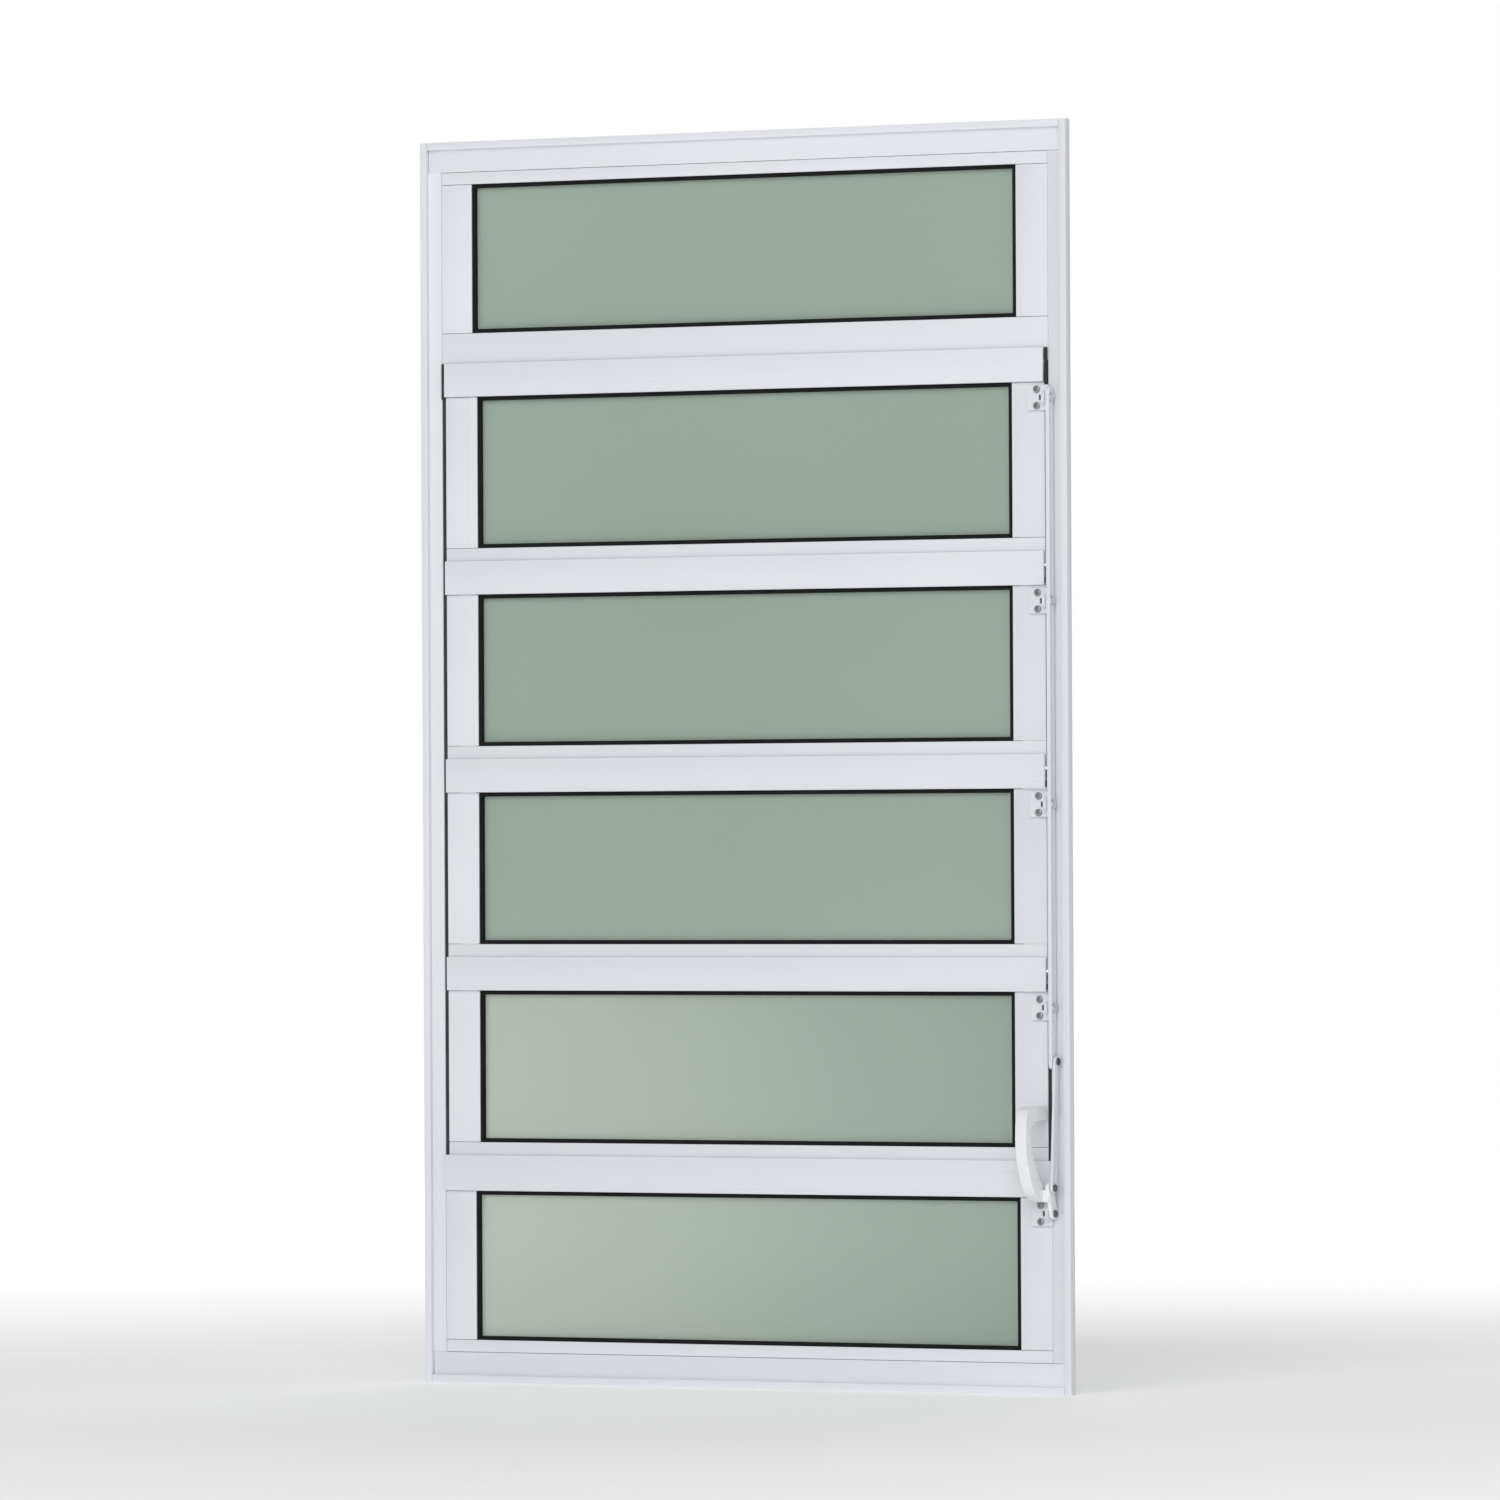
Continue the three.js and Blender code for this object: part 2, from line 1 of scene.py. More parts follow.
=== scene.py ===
"""The finished look of a white tilting window with two fixed lights and four linked sashes.

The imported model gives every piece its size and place. This script rounds the aluminium sections,
models the glazing, the brackets with their screws and rivets, the linkage and the D-shaped handle,
gives each piece its finish, and sets up a plain studio.
"""

import logging
import math
from contextlib import contextmanager
from dataclasses import dataclass, field
from enum import Enum
from typing import Callable, Iterator, Protocol, Sequence

import bmesh
import bpy
from mathutils import Matrix, Vector


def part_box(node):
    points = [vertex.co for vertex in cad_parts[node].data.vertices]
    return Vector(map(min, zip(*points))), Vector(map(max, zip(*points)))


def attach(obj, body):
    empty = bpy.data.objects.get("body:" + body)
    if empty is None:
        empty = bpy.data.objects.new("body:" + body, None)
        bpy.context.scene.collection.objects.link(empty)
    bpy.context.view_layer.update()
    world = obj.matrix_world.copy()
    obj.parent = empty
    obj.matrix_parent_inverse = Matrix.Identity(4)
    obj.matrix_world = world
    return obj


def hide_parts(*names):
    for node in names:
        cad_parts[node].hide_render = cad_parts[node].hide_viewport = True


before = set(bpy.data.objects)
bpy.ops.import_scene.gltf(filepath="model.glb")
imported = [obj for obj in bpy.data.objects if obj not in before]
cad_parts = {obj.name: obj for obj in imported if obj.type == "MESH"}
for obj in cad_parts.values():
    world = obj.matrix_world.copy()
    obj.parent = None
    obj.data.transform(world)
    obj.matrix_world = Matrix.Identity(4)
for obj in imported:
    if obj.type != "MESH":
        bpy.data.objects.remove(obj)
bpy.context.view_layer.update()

MM = 0.001
SASH_COUNT = 4
SIDES = (("left", -1), ("right", 1))
PIN_SIDES = 40
PIN_BORE = 2.3 * MM  # radius of a hole that a pin turns in
RIM_ANGLE = 60  # degrees, so that a flat bar's rims are rounded and its sides left alone
NEAR = 0.01 * MM  # closer than this counts as the same place
PATTERN_SPREAD = (0.3, 0.7)  # where most of a noise pattern's values lie

Colour = tuple[float, float, float]
Tones = tuple[Colour, Colour]
Place = tuple[float, float]
Bend = tuple[Place, Place, Place]

log = logging.getLogger("window")


# Bench: selecting, editing and finishing one piece at a time


def pick(piece: bpy.types.Object) -> None:
    """Make a piece the only one selected, and active.

    Args:
        piece: the object to select.
    """
    for other in bpy.context.selected_objects:
        other.select_set(False)
    piece.select_set(True)
    bpy.context.view_layer.objects.active = piece


def clear_selection() -> None:
    """Deselect everything, so that an operator acts on new geometry only."""
    for other in bpy.context.selected_objects:
        other.select_set(False)


@contextmanager
def editing(piece: bpy.types.Object) -> Iterator[None]:
    """Enter edit mode on a piece with nothing selected, and leave it afterwards.

    Args:
        piece: the object to edit.

    Yields:
        Nothing. The piece is in edit mode until the block under it ends.
    """
    pick(piece)
    bpy.ops.object.mode_set(mode="EDIT")
    bpy.ops.mesh.select_all(action="DESELECT")
    yield
    bpy.ops.object.mode_set(mode="OBJECT")


def select_faces(piece: bpy.types.Object, wanted: Callable[[bmesh.types.BMFace], bool]) -> None:
    """Select the faces of the piece in edit mode that pass a test.

    Args:
        piece: the object in edit mode.
        wanted: true for a face that is to be selected.
    """
    shape = bmesh.from_edit_mesh(piece.data)
    bpy.ops.mesh.select_mode(type="FACE")
    for face in shape.faces:
        face.select_set(wanted(face))
    bmesh.update_edit_mesh(piece.data)


def select_verts(piece: bpy.types.Object, wanted: Callable[[Vector], bool]) -> None:
    """Select the vertices of the piece in edit mode whose place passes a test.

    Args:
        piece: the object in edit mode.
        wanted: true for the place of a vertex that is to be selected.
    """
    bpy.ops.mesh.select_mode(type="VERT")
    shape = bmesh.from_edit_mesh(piece.data)
    for vert in shape.verts:
        vert.select_set(wanted(vert.co))
    shape.select_flush_mode()
    bmesh.update_edit_mesh(piece.data)


def settle(piece: bpy.types.Object) -> bpy.types.Object:
    """Move a piece's place, turn and scale into its mesh.

    Args:
        piece: the object to settle.

    Returns:
        The same piece, at the origin.
    """
    pick(piece)
    bpy.ops.object.transform_apply(location=True, rotation=True, scale=True)
    return piece


def apply_modifier(piece: bpy.types.Object, kind: str, **settings: object) -> None:
    """Add a modifier to a piece and apply it at once.

    Args:
        piece: the object to change.
        kind: the modifier's type, such as BEVEL.
        settings: the modifier's own values.
    """
    pick(piece)
    modifier = piece.modifiers.new(kind.title(), kind)
    for key, value in settings.items():
        setattr(modifier, key, value)
    bpy.ops.object.modifier_apply(modifier=modifier.name)


def round_edges(
    piece: bpy.types.Object, width: float, segments: int = 2, angle: float = 35
) -> None:
    """Round a piece's sharp edges and shade it smooth between them.

    Args:
        piece: the object to round.
        width: size of each rounding, in metres.
        segments: faces across each rounding.
        angle: edges sharper than this are rounded, in degrees.
    """
    apply_modifier(
        piece,
        "BEVEL",
        width=width,
        segments=segments,
        limit_method="ANGLE",
        angle_limit=math.radians(angle),
        use_clamp_overlap=True,
        harden_normals=False,
    )
    smooth(piece)


def smooth(piece: bpy.types.Object, angle: float = 40) -> None:
    """Shade a piece smooth, but for edges sharper than an angle in degrees."""
    pick(piece)
    bpy.ops.object.shade_smooth_by_angle(angle=math.radians(angle))


def combine(piece: bpy.types.Object, tool: bpy.types.Object, operation: str) -> None:
    """Join a tool to a piece or cut it away, and throw the tool away.

    Args:
        piece: the object that is kept.
        tool: the object that is used up.
        operation: UNION or DIFFERENCE.
    """
    apply_modifier(piece, "BOOLEAN", object=tool, operation=operation, solver="EXACT")
    bpy.data.objects.remove(tool)


def box_piece(name: str, low: Sequence[float], high: Sequence[float]) -> bpy.types.Object:
    """Add a block between two corners.

    Args:
        name: the new object's name.
        low: its lowest corner, in metres.
        high: its highest corner, in metres.

    Returns:
        The block, at the origin.
    """
    clear_selection()
    middle = [(a + b) / 2 for a, b in zip(low, high)]
    size = [b - a for a, b in zip(low, high)]
    bpy.ops.mesh.primitive_cube_add(size=1, location=middle, scale=size)
    piece = bpy.context.active_object
    piece.name = name
    return settle(piece)


def drum(
    name: str, radius: float, left: float, right: float, y: float, z: float, sides: int = 48
) -> bpy.types.Object:
    """Add a cylinder that lies along X.

    Args:
        name: the new object's name.
        radius: its radius, in metres.
        left: x of its left face.
        right: x of its right face.
        y: place of its axis.
        z: place of its axis.
        sides: number of sides.

    Returns:
        The cylinder, at the origin.
    """
    clear_selection()
    bpy.ops.mesh.primitive_cylinder_add(
        vertices=sides,
        radius=radius,
        depth=right - left,
        location=((left + right) / 2, y, z),
        rotation=(0, math.pi / 2, 0),
    )
    piece = bpy.context.active_object
    piece.name = name
    return settle(piece)


def flat_bar(
    name: str, radius: float, x: Sequence[float], start: Sequence[float], end: Sequence[float]
) -> bpy.types.Object:
    """Add a flat bar with round ends: a disc whose far half is moved along.

    Args:
        name: the new object's name.
        radius: half of the bar's width.
        x: its left and right faces.
        start: middle of one round end, as (y, z).
        end: middle of the other, as (y, z).

    Returns:
        The bar, at the origin.
    """
    origin = Vector((0, *start))
    along = Vector((0, *end)) - origin
    bar = drum(name, radius, x[0], x[1], origin.y, origin.z)
    with editing(bar):
        select_verts(bar, lambda co: (co - origin).dot(along) > 0)
        bpy.ops.transform.translate(value=along)
    return bar


def bore(piece: bpy.types.Object, y: float, z: float, margin: float = 5 * MM) -> None:
    """Drill a hole along X right through a piece, for a pin to turn in.

    Args:
        piece: the object that is drilled.
        y: place of the hole's axis.
        z: place of the hole's axis.
        margin: how far the drill stands out at each side, in metres.
    """
    xs = [vert.co.x for vert in piece.data.vertices]
    drill = drum("drill", PIN_BORE, min(xs) - margin, max(xs) + margin, y, z, PIN_SIDES)
    combine(piece, drill, "DIFFERENCE")


def axis_of(node: str) -> Place:
    """The (y, z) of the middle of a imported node: the axis of a pin that lies along X."""
    low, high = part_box(node)
    return (low.y + high.y) / 2, (low.z + high.z) / 2


def section_copy(node: str, weld: float = 0.001 * MM, flatness: float = 1) -> bpy.types.Object:
    """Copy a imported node's mesh as clean faces, ready to be rounded.

    Args:
        node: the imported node's name.
        weld: points closer than this are merged, in metres.
        flatness: faces that turn by less than this are joined, in degrees.

    Returns:
        A new piece named after the node.
    """
    piece = bpy.data.objects.new(f"{node}_piece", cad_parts[node].data.copy())
    bpy.context.scene.collection.objects.link(piece)
    with editing(piece):
        bpy.ops.mesh.select_all(action="SELECT")
        bpy.ops.mesh.remove_doubles(threshold=weld)
        bpy.ops.mesh.dissolve_limited(angle_limit=math.radians(flatness))
        bpy.ops.mesh.customdata_custom_splitnormals_clear()
    return piece


# Finishes


class Grain(Enum):
    """Which way a section's faint lines run, as pattern features per metre along each axis."""

    ACROSS = (2.0, 220.0, 220.0)
    UPRIGHT = (220.0, 220.0, 2.0)
    NONE = (60.0, 60.0, 60.0)


class Web:
    """A material's nodes, added and linked in one step each."""

    def __init__(self, name: str) -> None:
        """Start a material with a Principled shader and object coordinates.

        Args:
            name: the material's name.
        """
        self.material = bpy.data.materials.new(name)
        self.material.use_nodes = True
        self.tree = self.material.node_tree
        self.shader = self.tree.nodes["Principled BSDF"]
        self.place = self.tree.nodes.new("ShaderNodeTexCoord").outputs["Object"]

    def node(
        self, kind: str, inputs: dict[str | int, object] | None = None, **settings: object
    ) -> bpy.types.Node:
        """Add a node.

        Args:
            kind: the node's type without its ShaderNode prefix.
            inputs: values or sockets for its inputs, by name or number.
            settings: the node's own properties.

        Returns:
            The new node.
        """
        made = self.tree.nodes.new(f"ShaderNode{kind}")
        for key, value in settings.items():
            setattr(made, key, value)
        for key, value in (inputs or {}).items():
            self.feed(made.inputs[key], value)
        return made

    def feed(self, socket: bpy.types.NodeSocket, value: object) -> None:
        """Link a socket to another, or set its value.

        Args:
            socket: the input to feed.
            value: another node's output, or a plain value.
        """
        if isinstance(value, bpy.types.NodeSocket):
            self.tree.links.new(value, socket)
        else:
            socket.default_value = value

    def noise(
        self, scale: float, detail: float = 2, stretch: Sequence[float] | None = None
    ) -> bpy.types.NodeSocket:
        """Add a noise pattern.

        Args:
            scale: features per metre.
            detail: octaves.
            stretch: scale along each axis, for a pattern with a direction.

        Returns:
            The pattern's value socket.
        """
        place = self.place
        if stretch:
            place = self.node("Mapping", {"Vector": place, "Scale": tuple(stretch)}).outputs[0]
        return self.node("TexNoise", {"Vector": place, "Scale": scale, "Detail": detail}).outputs[0]

    def between(
        self, value: bpy.types.NodeSocket, low: float, high: float
    ) -> bpy.types.NodeSocket:
        """Spread a pattern's middle values over a range of their own."""
        return self.ramp(value, PATTERN_SPREAD, (low, high))

    def ramp(
        self, value: bpy.types.NodeSocket, start: Sequence[float], end: Sequence[float]
    ) -> bpy.types.NodeSocket:
        """Carry a value over from one range to another.

        Args:
            value: the value's socket.
            start: the two ends of its own range.
            end: what those two ends become.

        Returns:
            The new value's socket.
        """
        inputs = {
            "Value": value,
            "From Min": start[0],
            "From Max": start[1],
            "To Min": end[0],
            "To Max": end[1],
        }
        return self.node("MapRange", inputs).outputs[0]

    def mix(
        self, share: bpy.types.NodeSocket, first: object, second: object
    ) -> bpy.types.NodeSocket:
        """Mix two colours, each a socket or four numbers.

        Args:
            share: 0 for the first colour, 1 for the second.
            first: one colour.
            second: the other.

        Returns:
            The mixed colour's socket.
        """
        mixer = self.node("Mix", data_type="RGBA")
        for number, value in ((0, share), (6, first), (7, second)):
            self.feed(mixer.inputs[number], value)
        return mixer.outputs[2]

    def tint(
        self, value: bpy.types.NodeSocket, first: Colour, second: Colour
    ) -> bpy.types.NodeSocket:
        """Mix two colours by a pattern."""
        return self.mix(self.between(value, 0, 1), (*first, 1), (*second, 1))

    def bump(
        self,
        height: bpy.types.NodeSocket,
        distance: float,
        under: bpy.types.NodeSocket | None = None,
    ) -> bpy.types.NodeSocket:
        """Add a bump.

        Args:
            height: the pattern that is raised.
            distance: how far it is raised, in metres.
            under: another bump's normal, below this one.

        Returns:
            The new normal.
        """
        inputs = {"Height": height, "Distance": distance, "Strength": 1.0}
        if under:
            inputs["Normal"] = under
        return self.node("Bump", inputs).outputs[0]

    def dress(self, **values: object) -> bpy.types.Material:
        """Set the shader's inputs.

        Args:
            values: plain values or sockets, by the input's name with underscores for spaces.

        Returns:
            The material.
        """
        for key, value in values.items():
            self.feed(self.shader.inputs[key.replace("_", " ")], value)
        return self.material


class Finish(Protocol):
    """What every finish below has: the name of its slot, and a material that it makes."""

    @property
    def slot(self) -> str:
        """The slot's name."""

    def make(self) -> bpy.types.Material:
        """Build the material."""


@dataclass(frozen=True)
class PowderCoat:
    """White powder coat on an extruded section."""

    grain: Grain
    slot: str = "white_enamel"
    light: Colour = (0.78, 0.797, 0.835)
    shade: Colour = (0.745, 0.765, 0.81)

    def make(self) -> bpy.types.Material:
        """Build the finish.

        Returns:
            Its material.
        """
        web = Web(f"powder_coat_{self.grain.name.lower()}")
        clouds = web.noise(3.5, 3)
        lines = web.noise(1.0, 3, self.grain.value)
        peel = web.noise(900, 2)
        drawn = web.bump(lines, 0.02 * MM)
        return web.dress(
            Base_Color=web.tint(clouds, self.shade, self.light),
            Roughness=web.between(lines, 0.26, 0.36),
            Normal=web.bump(peel, 0.012 * MM, drawn),
        )


@dataclass(frozen=True)
class HandleEnamel:
    """Thicker, glossier white enamel on the cast handle."""

    slot: str = "handle_enamel"
    light: Colour = (0.90, 0.91, 0.92)
    shade: Colour = (0.86, 0.875, 0.89)

    def make(self) -> bpy.types.Material:
        """Build the finish.

        Returns:
            Its material.
        """
        web = Web("handle_enamel")
        ripple = web.noise(260, 2)
        return web.dress(
            Base_Color=web.tint(web.noise(25, 3), self.shade, self.light),
            Roughness=web.between(web.noise(90, 3), 0.22, 0.32),
            Normal=web.bump(ripple, 0.03 * MM),
            Coat_Weight=0.3,
            Coat_Roughness=0.12,
        )


@dataclass(frozen=True)
class TintedGlass:
    """Grey-green float glass, polished. In the two lowest lights a painted reflection pales it
    towards the left.
    """

    slot: str = "glass"
    light: Colour = (0.49, 0.585, 0.51)
    shade: Colour = (0.455, 0.55, 0.475)
    # The two ends of the painted reflection in the two lowest lights: darker at the right, paler at
    # the left.
    low_reflection_dim: Colour = (0.385, 0.470, 0.405)
    low_reflection_bright: Colour = (0.585, 0.655, 0.580)

    def make(self) -> bpy.types.Material:
        """Build the finish.

        Returns:
            Its material.
        """
        web = Web("tinted_glass")
        place = web.node("SeparateXYZ", {"Vector": web.place}).outputs
        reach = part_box("sash_1_glass")[1].x
        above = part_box(f"sash_{SASH_COUNT - 1}_glass")[0].z
        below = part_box(f"sash_{SASH_COUNT}_glass")[1].z
        # Painted reflection: the two lowest lights go from a darker tint at the right to a paler
        # one at the left, as a reflection of the room would light them.
        painted_reflection_leftness = web.ramp(place["X"], (reach, -reach), (0, 1))
        painted_reflection_share = web.ramp(place["Z"], (above, below), (0, 1))
        high_tone = web.tint(web.noise(2.2, 1), self.shade, self.light)
        painted_reflection_tone = web.mix(painted_reflection_leftness, (*self.low_reflection_dim, 1), (*self.low_reflection_bright, 1))
        return web.dress(
            Base_Color=web.mix(painted_reflection_share, high_tone, painted_reflection_tone),
            Roughness=web.between(web.noise(7, 2), 0.05, 0.09),
            Normal=web.bump(web.noise(9, 1), 0.02 * MM),
            IOR=1.5,
            Transmission_Weight=0.35,
        )


class Rubber(Enum):
    """Tones of rubber: its own colour, and where it has bloomed."""

    BLACK = ((0.004, 0.004, 0.0045), (0.010, 0.010, 0.011))
    GREY = ((0.030, 0.030, 0.034), (0.050, 0.050, 0.056))


@dataclass(frozen=True)
class GasketRubber:
    """Matt extruded rubber with a little bloom."""

    rubber: Rubber = Rubber.BLACK
    slot: str = "gasket_rubber"

    def make(self) -> bpy.types.Material:
        """Build the finish.

        Returns:
            Its material.
        """
        web = Web(f"gasket_rubber_{self.rubber.name.lower()}")
        return web.dress(
            Base_Color=web.tint(web.noise(60, 4), *self.rubber.value),
            Roughness=web.between(web.noise(400, 2), 0.6, 0.78),
            Specular_IOR_Level=0.16,
            Normal=web.bump(web.noise(1500, 2), 0.03 * MM),
        )


@dataclass(frozen=True)
class PivotNylon:
    """Dark grey moulded nylon."""

    slot: str = "pivot_nylon"

    def make(self) -> bpy.types.Material:
        """Build the finish.

        Returns:
            Its material.
        """
        web = Web("pivot_nylon")
        return web.dress(
            Base_Color=web.tint(web.noise(120, 3), (0.035, 0.037, 0.04), (0.055, 0.057, 0.06)),
            Roughness=web.between(web.noise(700, 2), 0.42, 0.55),
            Normal=web.bump(web.noise(2200, 2), 0.015 * MM),
        )


class Plating(Enum):
    """Tones of plated steel: a dark and a light spangle tone; the dark one is laid where the bump
    sinks, painted shade in its hollows.
    """

    ZINC = ((0.30, 0.31, 0.33), (0.46, 0.47, 0.49))
    PALE_NICKEL = ((0.66, 0.67, 0.69), (0.80, 0.81, 0.83))
    # A dark grey, used for the pins at the handle.
    DARK_GREY = ((0.13, 0.132, 0.14), (0.20, 0.203, 0.212))


@dataclass(frozen=True)
class PlatedSteel:
    """Plated steel of the screws, pins and rivets."""

    plating: Plating = Plating.ZINC
    slot: str = "plated_steel"

    def make(self) -> bpy.types.Material:
        """Build the finish.

        Returns:
            Its material.
        """
        web = Web(f"plated_steel_{self.plating.name.lower()}")
        # One noise gives both the spangle's tone and its bump, so the hollows are painted darker:
        # painted shade over a real spangle pattern.
        spangle_and_hollow_shade = web.noise(900, 4)
        return web.dress(
            Base_Color=web.tint(spangle_and_hollow_shade, *self.plating.value),
            Metallic=1.0,
            Roughness=web.between(web.noise(2500, 3), 0.24, 0.42),
            Normal=web.bump(spangle_and_hollow_shade, 0.01 * MM),
        )


@dataclass
class Paintbox:
    """One material for each finish, made when it is first asked for."""

    made: dict[Finish, bpy.types.Material] = field(default_factory=dict)

    def of(self, finish: Finish) -> bpy.types.Material:
        """Find or make a finish's material.

        Args:
            finish: one of the finishes above.

        Returns:
            The material.
        """
        if finish not in self.made:
            self.made[finish] = finish.make()
        return self.made[finish]


PAINTS = Paintbox()


def mount(piece: bpy.types.Object, body: str, finish: Finish, *nodes: str) -> bpy.types.Object:
    """Give a finished piece its finish and its body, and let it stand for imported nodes.

    Args:
        piece: the finished object.
        body: the body that it moves with.
        finish: one of the finishes above.
        nodes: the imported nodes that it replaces.

    Returns:
        The same piece.
    """
    piece.data.materials.clear()
    piece.data.materials.append(PAINTS.of(finish))
    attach(piece, body)
    if nodes:
        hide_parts(*nodes)
    log.info("%s on %s, %d faces", piece.name, body, len(piece.data.polygons))
    return piece


# Sections and glazing


@dataclass
class Section:
    """Aluminium sections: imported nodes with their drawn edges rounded."""

    edge: float = 0.35 * MM

    def build(self, node: str, body: str, grain: Grain) -> bpy.types.Object:
        """Round one section.

        Args:
            node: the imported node.
            body: the body that it moves with.
            grain: the way its length runs.

        Returns:
            The finished section.
        """
        piece = section_copy(node)
        round_edges(piece, self.edge)
        return mount(piece, body, PowderCoat(grain), node)


@dataclass
class Glazing:
    """A sheet of glass with ground edges, and the black gasket that shows round it."""

    arris: float = 0.5 * MM
    gasket_edge: float = 0.6 * MM

    def build(self, prefix: str, body: str) -> None:
        """Build one light's glass and gasket.

        Args:
            prefix: the light's name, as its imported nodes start.
            body: the body that it moves with.
        """
        low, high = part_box(f"{prefix}_glass")
        sheet = box_piece(f"{prefix}_glass_sheet", low, high)
        round_edges(sheet, self.arris, 1)
        mount(sheet, body, TintedGlass(), f"{prefix}_glass")
        seal = section_copy(f"{prefix}_gasket")
        round_edges(seal, self.gasket_edge, 3)
        mount(seal, body, GasketRubber(), f"{prefix}_gasket")


@dataclass
class OuterFrame:
    """The frame, the two transoms and the rubber strips in the gaps beside the sashes."""

    strip_front: float = 0.5 * MM
    strip_depth: float = 1.3 * MM
    clearance: float = 0.3 * MM

    def build(self) -> None:
        """Build every piece of the frame but its fixed lights."""
        section = Section()
        for node in ("frame_head", "frame_sill", "transom_upper", "transom_lower"):
            section.build(node, "frame", Grain.ACROSS)
        for word, _ in SIDES:
            section.build(f"frame_jamb_{word}", "frame", Grain.UPRIGHT)
        self.side_strips()

    def side_strips(self) -> None:
        """Close the gap between the sashes and each jamb with a rubber strip, and stand a dark grey
        strip in front of the gap beside the upper sash's top: painted shade for the dark slot
        there.
        """
        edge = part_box("sash_1_top_rail")[1].x + self.clearance
        face = max(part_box("transom_upper")[1].x, edge)
        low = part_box(f"sash_{SASH_COUNT}_bottom_rail")[0].z
        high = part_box("transom_upper")[0].z - self.clearance
        back = self.strip_front + self.strip_depth
        # Painted shade: the cap is a dark sheet in front of the gap by the upper sash's top, where
        # the slot reads dark.
        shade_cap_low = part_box("sash_1_bracket")[1].z + 2 * self.clearance
        for word, side in SIDES:
            left, right = sorted((side * edge, side * face))
            strip = box_piece(
                f"side_strip_{word}", (left, self.strip_front, low), (right, back, high)
            )
            round_edges(strip, self.clearance, 3)
            mount(strip, "frame", GasketRubber(Rubber.GREY))
            shade_cap = box_piece(
                f"shade_strip_cap_{word}",
                (left, -self.clearance - self.strip_depth, shade_cap_low),
                (right, -self.clearance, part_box("sash_1_top_rail")[1].z),
            )
            round_edges(shade_cap, self.clearance, 3)
            mount(shade_cap, "frame", GasketRubber(Rubber.GREY))


@dataclass
class FixedLight:
    """A light that doesn't open: a rail, two stiles, glass and gasket."""

    prefix: str

    def build(self) -> None:
        """Build the light."""
        section = Section()
        section.build(f"{self.prefix}_rail", "frame", Grain.ACROSS)
        for word, _ in SIDES:
            section.build(f"{self.prefix}_stile_{word}", "frame", Grain.UPRIGHT)
        Glazing().build(self.prefix, "frame")


@dataclass
class Sash:
    """One tilting sash: two rails, two stiles, glass, gasket and its pivots."""

    number: int
    pin_radius: float = 3.0 * MM
    pivot_edge: float = 0.4 * MM
    clearance: float = 0.3 * MM

    @property
    def body(self) -> str:
        """The sash's body."""
        return f"sash_{self.number}"

    def build(self) -> None:
        """Build the sash."""
        section = Section()
        for rail in ("top_rail", "bottom_rail"):
            section.build(f"{self.body}_{rail}", self.body, Grain.ACROSS)
        for word, _ in SIDES:
            section.build(f"{self.body}_stile_{word}", self.body, Grain.UPRIGHT)
            self.pivot(f"{self.body}_pivot_{word}")
        Glazing().build(self.body, self.body)

    def pivot(self, node: str) -> None:
        """Turn one pivot: a pin through the wall and a collar in the gap.

        Args:
            node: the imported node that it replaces.
        """
        low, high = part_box(node)
        y, z = axis_of(node)
        collar_radius = (high.z - low.z) / 2
        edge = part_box(f"{self.body}_top_rail")[1].x + self.clearance
        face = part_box("transom_upper")[1].x
        side = 1 if high.x > 0 else -1
        collar = sorted((side * edge, side * face))
        pivot = drum(f"{node}_bush", collar_radius, collar[0], collar[1], y, z)
        combine(pivot, drum("pin", self.pin_radius, low.x, high.x, y, z, PIN_SIDES), "UNION")
        round_edges(pivot, self.pivot_edge)
        mount(pivot, self.body, PivotNylon(), node)


# Brackets, screws and rivets


@dataclass
class PanScrew:
    """A pan-head screw with a cross recess, its axis along Y and its head towards the room."""

    head_radius: float = 2.9 * MM
    head_height: float = 1.7 * MM
    rounding: float = 0.8 * MM
    turn: float = 0.35  # radians
    slot_length: float = 3.4 * MM
    slot_width: float = 0.75 * MM
    slot_depth: float = 1.0 * MM

    def model(self, name: str, x: float, back: float, z: float) -> bpy.types.Object:
        """Model one screw's head.

        Args:
            name: the screw's name.
            x: place of its axis.
            back: y of the face that the head lies on.
            z: place of its axis.

        Returns:
            The head.
        """
        clear_selection()
        front = back - self.head_height
        bpy.ops.mesh.primitive_cylinder_add(
            vertices=32,
            radius=self.head_radius,
            depth=self.head_height,
            location=(x, (front + back) / 2, z),
            rotation=(math.pi / 2, 0, 0),
        )
        head = bpy.context.active_object
        head.name = name
        settle(head)
        with editing(head):
            select_faces(head, lambda face: face.normal.y < -0.9)
            bpy.ops.mesh.bevel(
                offset=self.rounding, segments=4, affect="EDGES", clamp_overlap=True
            )
        for turn in (self.turn, self.turn + math.pi / 2):
            clear_selection()
            bpy.ops.mesh.primitive_cube_add(
                size=1,
                location=(x, front, z),
                rotation=(0, turn, 0),
                scale=(self.slot_length, 2 * self.slot_depth, self.slot_width),
            )
            combine(head, settle(bpy.context.active_object), "DIFFERENCE")
        smooth(head, 30)
        return head


